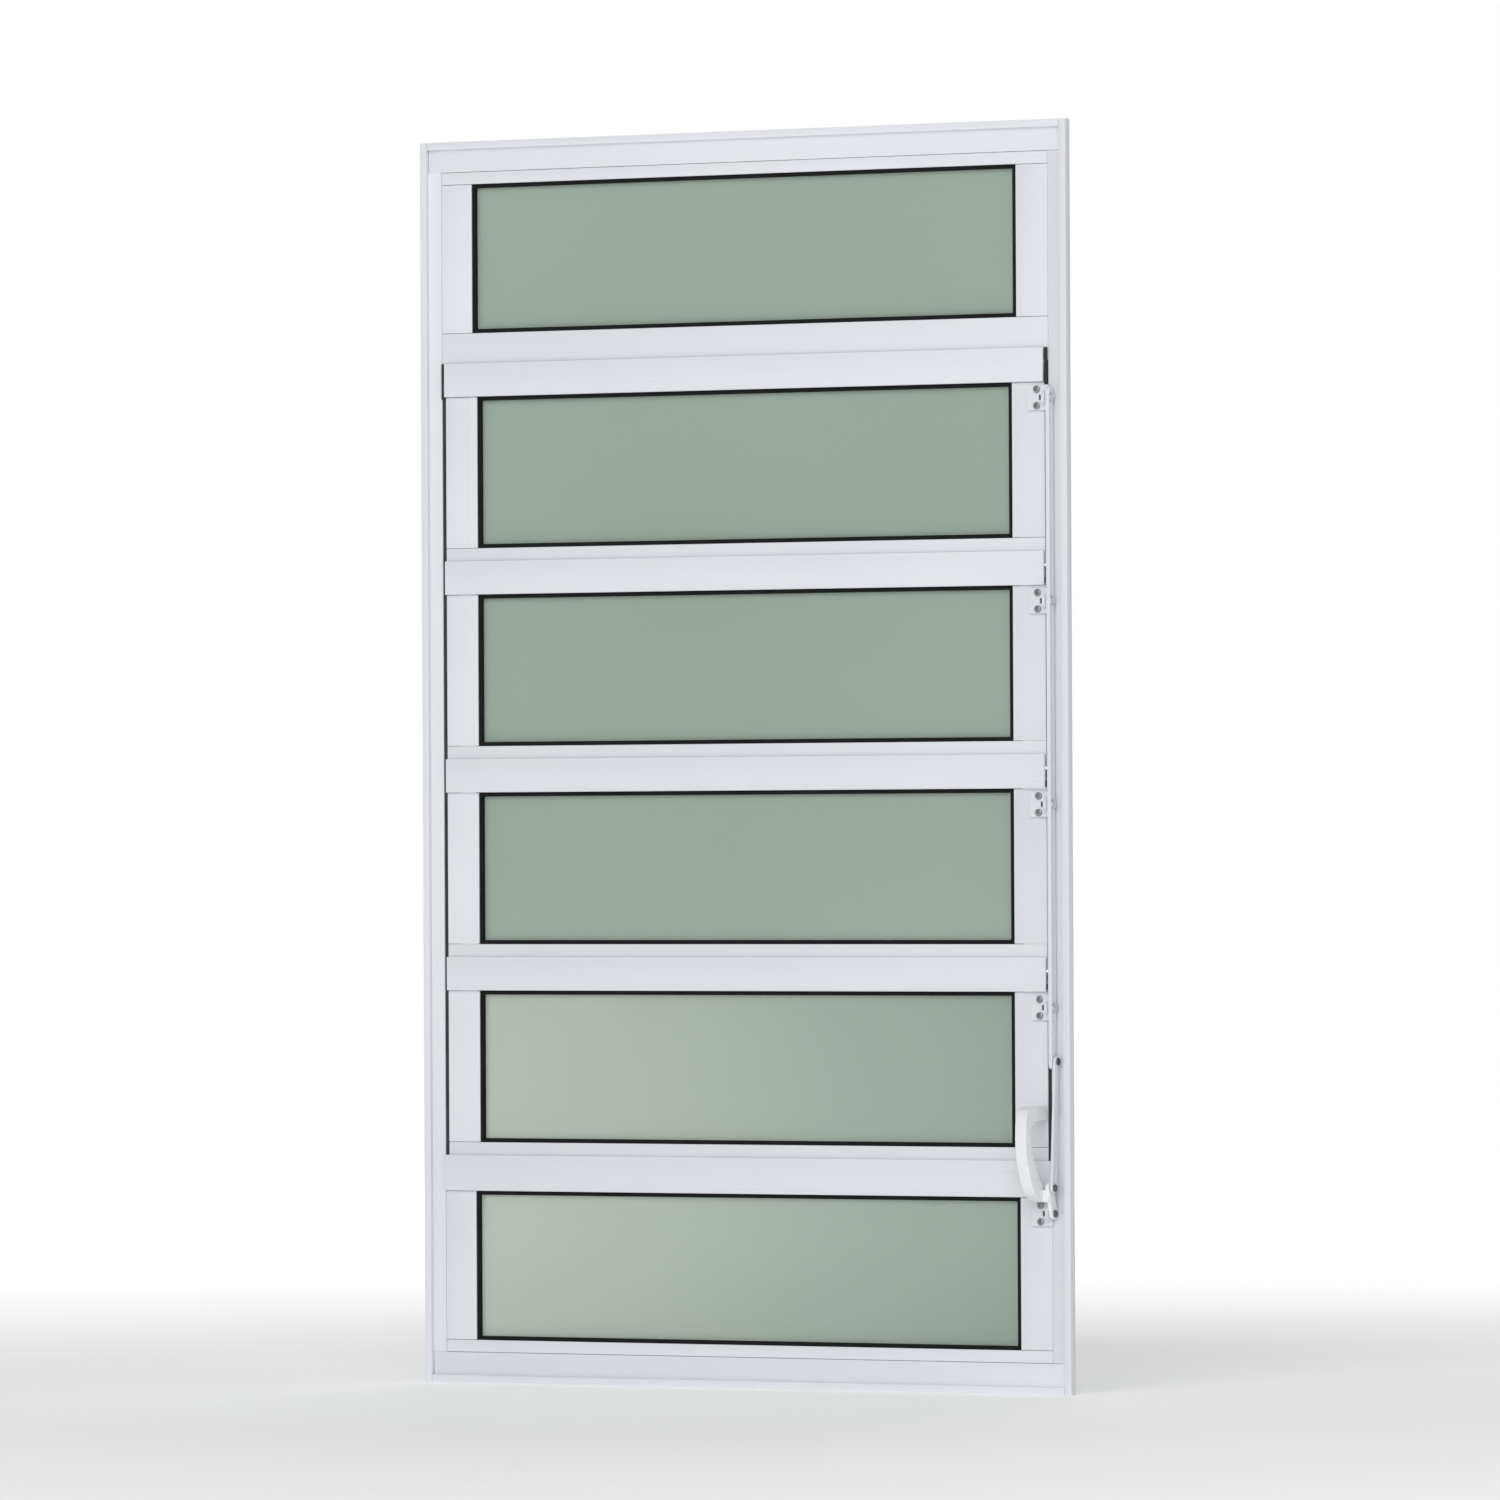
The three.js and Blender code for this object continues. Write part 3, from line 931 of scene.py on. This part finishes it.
@dataclass
class Rivet:
    """A rivet along X: a shank and a domed head at its right end."""

    shank_radius: float = 2.0 * MM
    head_radius: float = 3.6 * MM
    head_height: float = 1.0 * MM
    dome: float = 0.65 * MM

    def model(self, name: str, left: float, right: float, y: float, z: float) -> bpy.types.Object:
        """Model one rivet.

        Args:
            name: the rivet's name.
            left: x of the shank's end.
            right: x of the head's outer face.
            y: place of its axis.
            z: place of its axis.

        Returns:
            The rivet.
        """
        shank = drum(
            name, self.shank_radius, left, right - self.head_height / 2, y, z, PIN_SIDES
        )
        head = drum("rivet_head", self.head_radius, right - self.head_height, right, y, z)
        with editing(head):
            select_faces(head, lambda face: face.normal.x > 0.9)
            bpy.ops.mesh.bevel(offset=self.dome, segments=5, affect="EDGES")
        combine(shank, head, "UNION")
        smooth(shank, 35)
        return shank


@dataclass
class Bracket:
    """A bent plate, screwed to a stile by its foot, whose round ear carries a pin."""

    sheet: float = 2.0 * MM
    half_height: float = 10.0 * MM
    width: float = 19.0 * MM
    gap: float = 0.3 * MM
    ear_radius: float = 5.7 * MM
    shoulder: float = 1.0 * MM
    corner: float = 1.6 * MM
    edge: float = 0.3 * MM
    screw_rise: float = 6.5 * MM
    screw_from_ear: float = 10.2 * MM
    slot_from_ear: float = 7.8 * MM
    slot_width: float = 2.0 * MM
    slot_height: float = 4.6 * MM
    # A thin black sheet in the gap behind the plate: painted shade, so that the slot through the
    # plate reads dark.
    shade_pad: float = 0.2 * MM
    shade_pad_inset: float = 1.2 * MM

    def build(self, node: str, body: str, pin: Place) -> None:
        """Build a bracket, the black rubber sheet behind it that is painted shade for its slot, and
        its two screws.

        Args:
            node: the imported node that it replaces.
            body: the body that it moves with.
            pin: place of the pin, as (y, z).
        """
        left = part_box(node)[0].x
        right = left + self.width
        y, z = pin
        back = -self.gap
        front = back - self.sheet
        foot, top = z - self.half_height, z + self.half_height
        plate = box_piece(f"{node}_plate", (left, front, foot), (right, back, top))
        self.round_corners(plate, left)
        ear = flat_bar("ear", self.ear_radius, (right - self.sheet, right), pin, (front, z))
        shoulder = box_piece(
            "shoulder",
            (right - self.sheet, front - self.shoulder, foot + self.edge),
            (right, back - self.edge, top - self.edge),
        )
        with editing(ear):
            select_verts(ear, lambda co: co.y > back - self.edge)
            middle = (right, front + self.sheet / 2, z)
            bpy.ops.transform.resize(value=(1, 0, 1), center_override=middle)
        combine(ear, shoulder, "UNION")
        combine(plate, ear, "UNION")
        slot = self.slot_tool(right - self.slot_from_ear, front + self.sheet / 2, z)
        combine(plate, slot, "DIFFERENCE")
        round_edges(plate, self.edge)
        mount(plate, body, PowderCoat(Grain.NONE), node)
        # Painted shade: a black sheet behind the plate darkens the slot.
        inset = self.shade_pad_inset
        shade_pad = box_piece(
            f"{node}_pad",
            (left + inset, back, foot + inset),
            (right - self.sheet - inset, back + self.shade_pad, top - inset),
        )
        round_edges(shade_pad, self.shade_pad / 3, 1)
        mount(shade_pad, body, GasketRubber())
        for word, rise in (("upper", self.screw_rise), ("lower", -self.screw_rise)):
            name = f"{node}_screw_{word}"
            screw = PanScrew().model(name, right - self.screw_from_ear, front, z + rise)
            mount(screw, body, PlatedSteel())

    def round_corners(self, plate: bpy.types.Object, left: float) -> None:
        """Round the plate's two corners away from the ear.

        Args:
            plate: the plate, still a plain block.
            left: x of its left side.
        """
        with editing(plate):
            bpy.ops.mesh.select_mode(type="EDGE")
            shape = bmesh.from_edit_mesh(plate.data)
            for edge in shape.edges:
                through = abs((edge.verts[0].co - edge.verts[1].co).y) > self.sheet / 2
                edge.select_set(through and edge.verts[0].co.x < left + self.edge)
            bmesh.update_edit_mesh(plate.data)
            bpy.ops.mesh.bevel(offset=self.corner, segments=6, affect="EDGES")

    def slot_tool(self, x: float, y: float, z: float) -> bpy.types.Object:
        """Model the tool that cuts the upright slot through the plate.

        Args:
            x: middle of the slot.
            y: middle of the plate.
            z: middle of the slot.

        Returns:
            The tool: an upright slot with round ends.
        """
        clear_selection()
        bpy.ops.mesh.primitive_cylinder_add(
            vertices=24,
            radius=self.slot_width / 2,
            depth=2 * self.sheet,
            location=(x, y, z),
            rotation=(math.pi / 2, 0, 0),
        )
        tool = settle(bpy.context.active_object)
        reach = (self.slot_height - self.slot_width) / 2
        with editing(tool):
            for side in (-1, 1):
                select_verts(tool, lambda co: (co.z - z) * side > NEAR)
                bpy.ops.transform.translate(value=(0, 0, side * reach))
        return tool


# Linkage and handle


@dataclass
class Linkage:
    """The flat rod that joins the sashes, the link below it, their rivets and the brackets."""

    edge: float = 0.3 * MM
    pin_head: float = 2.9 * MM
    link_radius: float = 4.0 * MM

    def build(self) -> None:
        """Build the linkage."""
        self.rod()
        self.link()
        bracket = Bracket()
        for number in range(1, SASH_COUNT + 1):
            node = f"sash_{number}_bracket"
            pin = self.pin_of(node)
            bracket.build(node, f"sash_{number}", pin)
            low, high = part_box(node)
            inside_ear = low.x + bracket.width - bracket.sheet / 2
            rivet = Rivet().model(f"sash_{number}_rivet", inside_ear, high.x, *pin)
            mount(rivet, f"sash_{number}", PlatedSteel(Plating.PALE_NICKEL))
        bracket.build("handle_bracket", "frame", axis_of("handle_pivot_pin"))
        for node, body in (
            ("handle_pivot_pin", "frame"),
            ("link_lower_pin", "handle"),
            ("link_upper_rivet", "link"),
        ):
            low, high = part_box(node)
            rivet = Rivet(head_radius=self.pin_head).model(
                f"{node}_turned", low.x, high.x, *axis_of(node)
            )
            mount(rivet, body, PlatedSteel(Plating.DARK_GREY), node)

    def pin_of(self, node: str) -> Place:
        """The place of a sash bracket's pin, as (y, z)."""
        low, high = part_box(node)
        return low.y + Bracket.ear_radius, (low.z + high.z) / 2

    def rod(self) -> None:
        """Model the rod: a flat bar with round ends."""
        low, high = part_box("link_rod")
        radius = (high.y - low.y) / 2
        y, _ = axis_of("link_rod")
        start, end = (y, low.z + radius), (y, high.z - radius)
        rod = flat_bar("sash_rod", radius, (low.x, high.x), start, end)
        for number in range(1, SASH_COUNT + 1):
            bore(rod, *self.pin_of(f"sash_{number}_bracket"))
        round_edges(rod, self.edge, angle=RIM_ANGLE)
        mount(rod, "rod", PowderCoat(Grain.UPRIGHT), "link_rod")

    def link(self) -> None:
        """Model the link between the rod and the handle."""
        low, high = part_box("handle_link")
        pin, rivet = axis_of("link_lower_pin"), axis_of("link_upper_rivet")
        link = flat_bar("link_bar", self.link_radius, (low.x, high.x), pin, rivet)
        bore(link, *pin)
        round_edges(link, self.edge, angle=RIM_ANGLE)
        mount(link, "link", PowderCoat(Grain.UPRIGHT), "handle_link")


@dataclass
class Handle:
    """The D-shaped handle: a plate with an arm, a bowed grip and a foot, and the lug it turns on.

    Sizes are in millimetres, and places are (y, z) from the handle's pivot. The outline runs over
    the arm, down the grip's front, round the foot and back up the opening. Each row holds a
    corner's or a bend's own place, then the two handles that shape the curve before and after it.
    """

    outline: tuple[Bend, ...] = (
        ((-2.1, 84.4), (-2.1, 84.4), (-2.1, 84.4)),
        ((-22.0, 84.4), (-18.0, 84.4), (-30.0, 84.4)),
        ((-35.2, 73.0), (-34.6, 81.0), (-36.5, 58.0)),
        ((-32.8, 38.5), (-35.9, 48.0), (-28.5, 26.0)),
        ((-3.0, 9.0), (-24.0, 9.0), (-2.4, 9.0)),
        ((-1.2, 9.0), (-1.2, 9.0), (-1.2, 9.0)),
        ((-1.2, 19.0), (-1.2, 19.0), (-1.2, 19.0)),
        ((-2.0, 19.0), (-1.8, 19.0), (-9.0, 20.0)),
        ((-17.8, 34.8), (-13.0, 28.0), (-22.0, 41.0)),
        ((-27.8, 60.0), (-25.5, 52.0), (-30.2, 69.0)),
        ((-12.0, 73.2), (-23.0, 73.2), (-9.0, 73.2)),
        ((-2.1, 73.2), (-2.1, 73.2), (-2.1, 73.2)),
    )
    thickness: float = 10.0
    rounding: float = 2.4
    bend_steps: int = 16
    rounding_steps: int = 5
    lug_radius: float = 4.4
    lug_edge: float = 0.3
    foot: tuple[float, float, float, float] = (-9.9, -1.4, 9.2, 18.8)
    foot_inset: float = 0.4
    foot_rounding: float = 1.0
    weld: float = 0.005
    flatness: float = 0.1
    pivot: Vector = field(init=False)
    left: float = field(init=False)
    right: float = field(init=False)

    def __post_init__(self) -> None:
        """Take the pivot and the two sides from the frame, in metres."""
        self.pivot = Vector((0, *axis_of("handle_pivot_pin")))
        self.left, self.right = (corner.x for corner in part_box("handle_lever"))

    def build(self) -> None:
        """Build the handle."""
        grip = self.plate()
        for tool in (self.foot_block(), self.lug()):
            combine(grip, tool, "UNION")
        smooth(grip, 35)
        mount(grip, "handle", HandleEnamel(), "handle_lever")

    def at(self, y: float, z: float, x: float = 0.0) -> Vector:
        """A place given from the pivot, in metres."""
        return self.pivot + Vector((x, y * MM, z * MM))

    def plate(self) -> bpy.types.Object:
        """Draw the outline as a closed flat curve and turn it into a plate.

        Returns:
            The plate, with its edges rounded.
        """
        clear_selection()
        bpy.ops.curve.primitive_bezier_curve_add()
        drawing = bpy.context.active_object
        drawing.name = "handle_grip"
        data = drawing.data
        data.dimensions = "2D"
        data.resolution_u = self.bend_steps
        data.splines.clear()
        bends = data.splines.new("BEZIER")
        bends.bezier_points.add(len(self.outline) - 1)
        bends.use_cyclic_u = True
        for point, (place, before, after) in zip(bends.bezier_points, self.outline):
            point.handle_left_type = point.handle_right_type = "FREE"
            point.co = (*(c * MM for c in place), 0)
            point.handle_left = (*(c * MM for c in before), 0)
            point.handle_right = (*(c * MM for c in after), 0)
        data.fill_mode = "BOTH"
        data.extrude = self.thickness / 2 * MM
        drawing.rotation_euler = (math.pi / 2, 0, math.pi / 2)
        drawing.location = self.at(0, 0, self.left + self.thickness / 2 * MM)
        pick(drawing)
        bpy.ops.object.convert(target="MESH")
        plate = settle(bpy.context.active_object)
        with editing(plate):
            bpy.ops.mesh.select_all(action="SELECT")
            bpy.ops.mesh.remove_doubles(threshold=self.weld * MM)
            bpy.ops.mesh.normals_make_consistent(inside=False)
            bpy.ops.mesh.dissolve_limited(angle_limit=math.radians(self.flatness))
        round_edges(plate, self.rounding * MM, self.rounding_steps, 50)
        return plate

    def foot_block(self) -> bpy.types.Object:
        """Model the foot, which reaches across from the grip to the lug.

        Returns:
            The foot.
        """
        front_y, back_y, low_z, high_z = self.foot
        start = self.left + self.thickness / 2 * MM
        end = self.right - self.foot_inset * MM
        block = box_piece("foot", self.at(front_y, low_z, start), self.at(back_y, high_z, end))
        round_edges(block, self.foot_rounding * MM, 3)
        return block

    def lug(self) -> bpy.types.Object:
        """Model the lug, from round the pivot to round the link's pin.

        Returns:
            The lug.
        """
        pivot, pin = axis_of("handle_pivot_pin"), axis_of("link_lower_pin")
        low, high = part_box("link_rod")
        lug = flat_bar("lug", self.lug_radius * MM, (low.x, high.x), pivot, pin)
        bore(lug, *pivot)
        round_edges(lug, self.lug_edge * MM, angle=RIM_ANGLE)
        return lug


# Studio


@dataclass
class Studio:
    """A pale floor, soft light and a camera with a long lens, to the right of the window."""

    azimuth: float = 31.149
    elevation: float = -0.420
    roll: float = -0.281
    lens: float = 300.0
    sensor: float = 36.0
    sight: float = 200.0
    stand: tuple[float, float, float] = (5.1485, -8.5068, 0.4346)
    backdrop: Colour = (1.0, 1.0, 1.0)
    ambient: float = 0.30
    background: float = 1.0
    key: float = 1.45
    key_spread: float = 50.0
    key_from: tuple[float, float, float] = (0.28, -0.80, 0.35)
    rear_place: tuple[float, float, float] = (-2.0, 5.0, 2.8)
    rear_target: tuple[float, float, float] = (0.0, 0.0, 0.5)
    rear_size: float = 3.0
    rear_watts: float = 45.0
    floor_size: float = 60.0
    floor_tones: Tones = ((0.86, 0.865, 0.87), (0.89, 0.893, 0.9))
    floor_glow: tuple[float, float] = (0.28, 0.60)
    glow_reach: tuple[float, float] = (0.8, 3.5)

    def build(self) -> None:
        """Set up the floor, the lights and the camera."""
        self.camera()
        self.floor()
        self.world()
        self.sun()
        self.rear_light()
        view = bpy.context.scene.view_settings
        view.view_transform = "Standard"
        view.look = "None"

    def camera(self) -> None:
        """Place the camera by its azimuth, elevation and roll."""
        a, e, r = (math.radians(angle) for angle in (self.azimuth, self.elevation, self.roll))
        back = Vector((math.sin(a) * math.cos(e), -math.cos(a) * math.cos(e), math.sin(e)))
        right = Vector((math.cos(a), math.sin(a), 0))
        up = back.cross(right)
        right, up = (
            math.cos(r) * right + math.sin(r) * up,
            math.cos(r) * up - math.sin(r) * right,
        )
        data = bpy.data.cameras.new("camera")
        data.lens = self.lens
        data.sensor_width = self.sensor
        data.clip_end = self.sight
        camera = bpy.data.objects.new("camera", data)
        bpy.context.scene.collection.objects.link(camera)
        turn = Matrix((right, up, back)).transposed().to_4x4()
        camera.matrix_world = Matrix.Translation(self.stand) @ turn
        bpy.context.scene.camera = camera

    def floor(self) -> None:
        """Lay a pale floor under the window."""
        clear_selection()
        bpy.ops.mesh.primitive_plane_add(size=self.floor_size, location=(0, 0, 0))
        floor = bpy.context.active_object
        floor.name = "floor"
        web = Web("floor_paint")
        away = web.node("VectorMath", {0: web.place}, operation="LENGTH").outputs["Value"]
        floor.data.materials.append(
            web.dress(
                Base_Color=web.tint(web.noise(0.4, 2), *self.floor_tones),
                Roughness=0.9,
                Emission_Color=(1.0, 1.0, 1.0, 1.0),
                Emission_Strength=web.ramp(away, self.glow_reach, self.floor_glow),
            )
        )

    def world(self) -> None:
        """Light everything softly from all round."""
        world = bpy.data.worlds.new("studio")
        world.use_nodes = True
        tree = world.node_tree
        background = tree.nodes["Background"]
        background.inputs["Color"].default_value = (*self.backdrop, 1)
        seen = tree.nodes.new("ShaderNodeLightPath").outputs["Is Camera Ray"]
        strength = tree.nodes.new("ShaderNodeMapRange")
        strength.inputs["To Min"].default_value = self.ambient
        strength.inputs["To Max"].default_value = self.background
        tree.links.new(seen, strength.inputs["Value"])
        tree.links.new(strength.outputs[0], background.inputs["Strength"])
        bpy.context.scene.world = world

    def sun(self) -> None:
        """Add one broad, soft light from the room, a little above and to the right."""
        data = bpy.data.lights.new("key_light", "SUN")
        data.energy = self.key
        data.angle = math.radians(self.key_spread)
        light = bpy.data.objects.new("key_light", data)
        light.rotation_euler = (-Vector(self.key_from)).to_track_quat("-Z", "Y").to_euler()
        bpy.context.scene.collection.objects.link(light)

    def rear_light(self) -> None:
        """Hang a square soft light behind the window, above it and to its left."""
        data = bpy.data.lights.new("rear_light", "AREA")
        data.size = self.rear_size
        data.energy = self.rear_watts
        light = bpy.data.objects.new("rear_light", data)
        light.location = self.rear_place
        aim = Vector(self.rear_target) - Vector(self.rear_place)
        light.rotation_euler = aim.to_track_quat("-Z", "Y").to_euler()
        bpy.context.scene.collection.objects.link(light)


def main() -> None:
    """Build the window piece by piece, then the studio round it."""
    logging.basicConfig(level=logging.INFO, format="%(name)s: %(message)s")
    Studio().build()
    OuterFrame().build()
    for prefix in ("top_light", "bottom_light"):
        FixedLight(prefix).build()
    for number in range(1, SASH_COUNT + 1):
        Sash(number).build()
    Linkage().build()
    Handle().build()


if __name__ == "__main__":
    main()
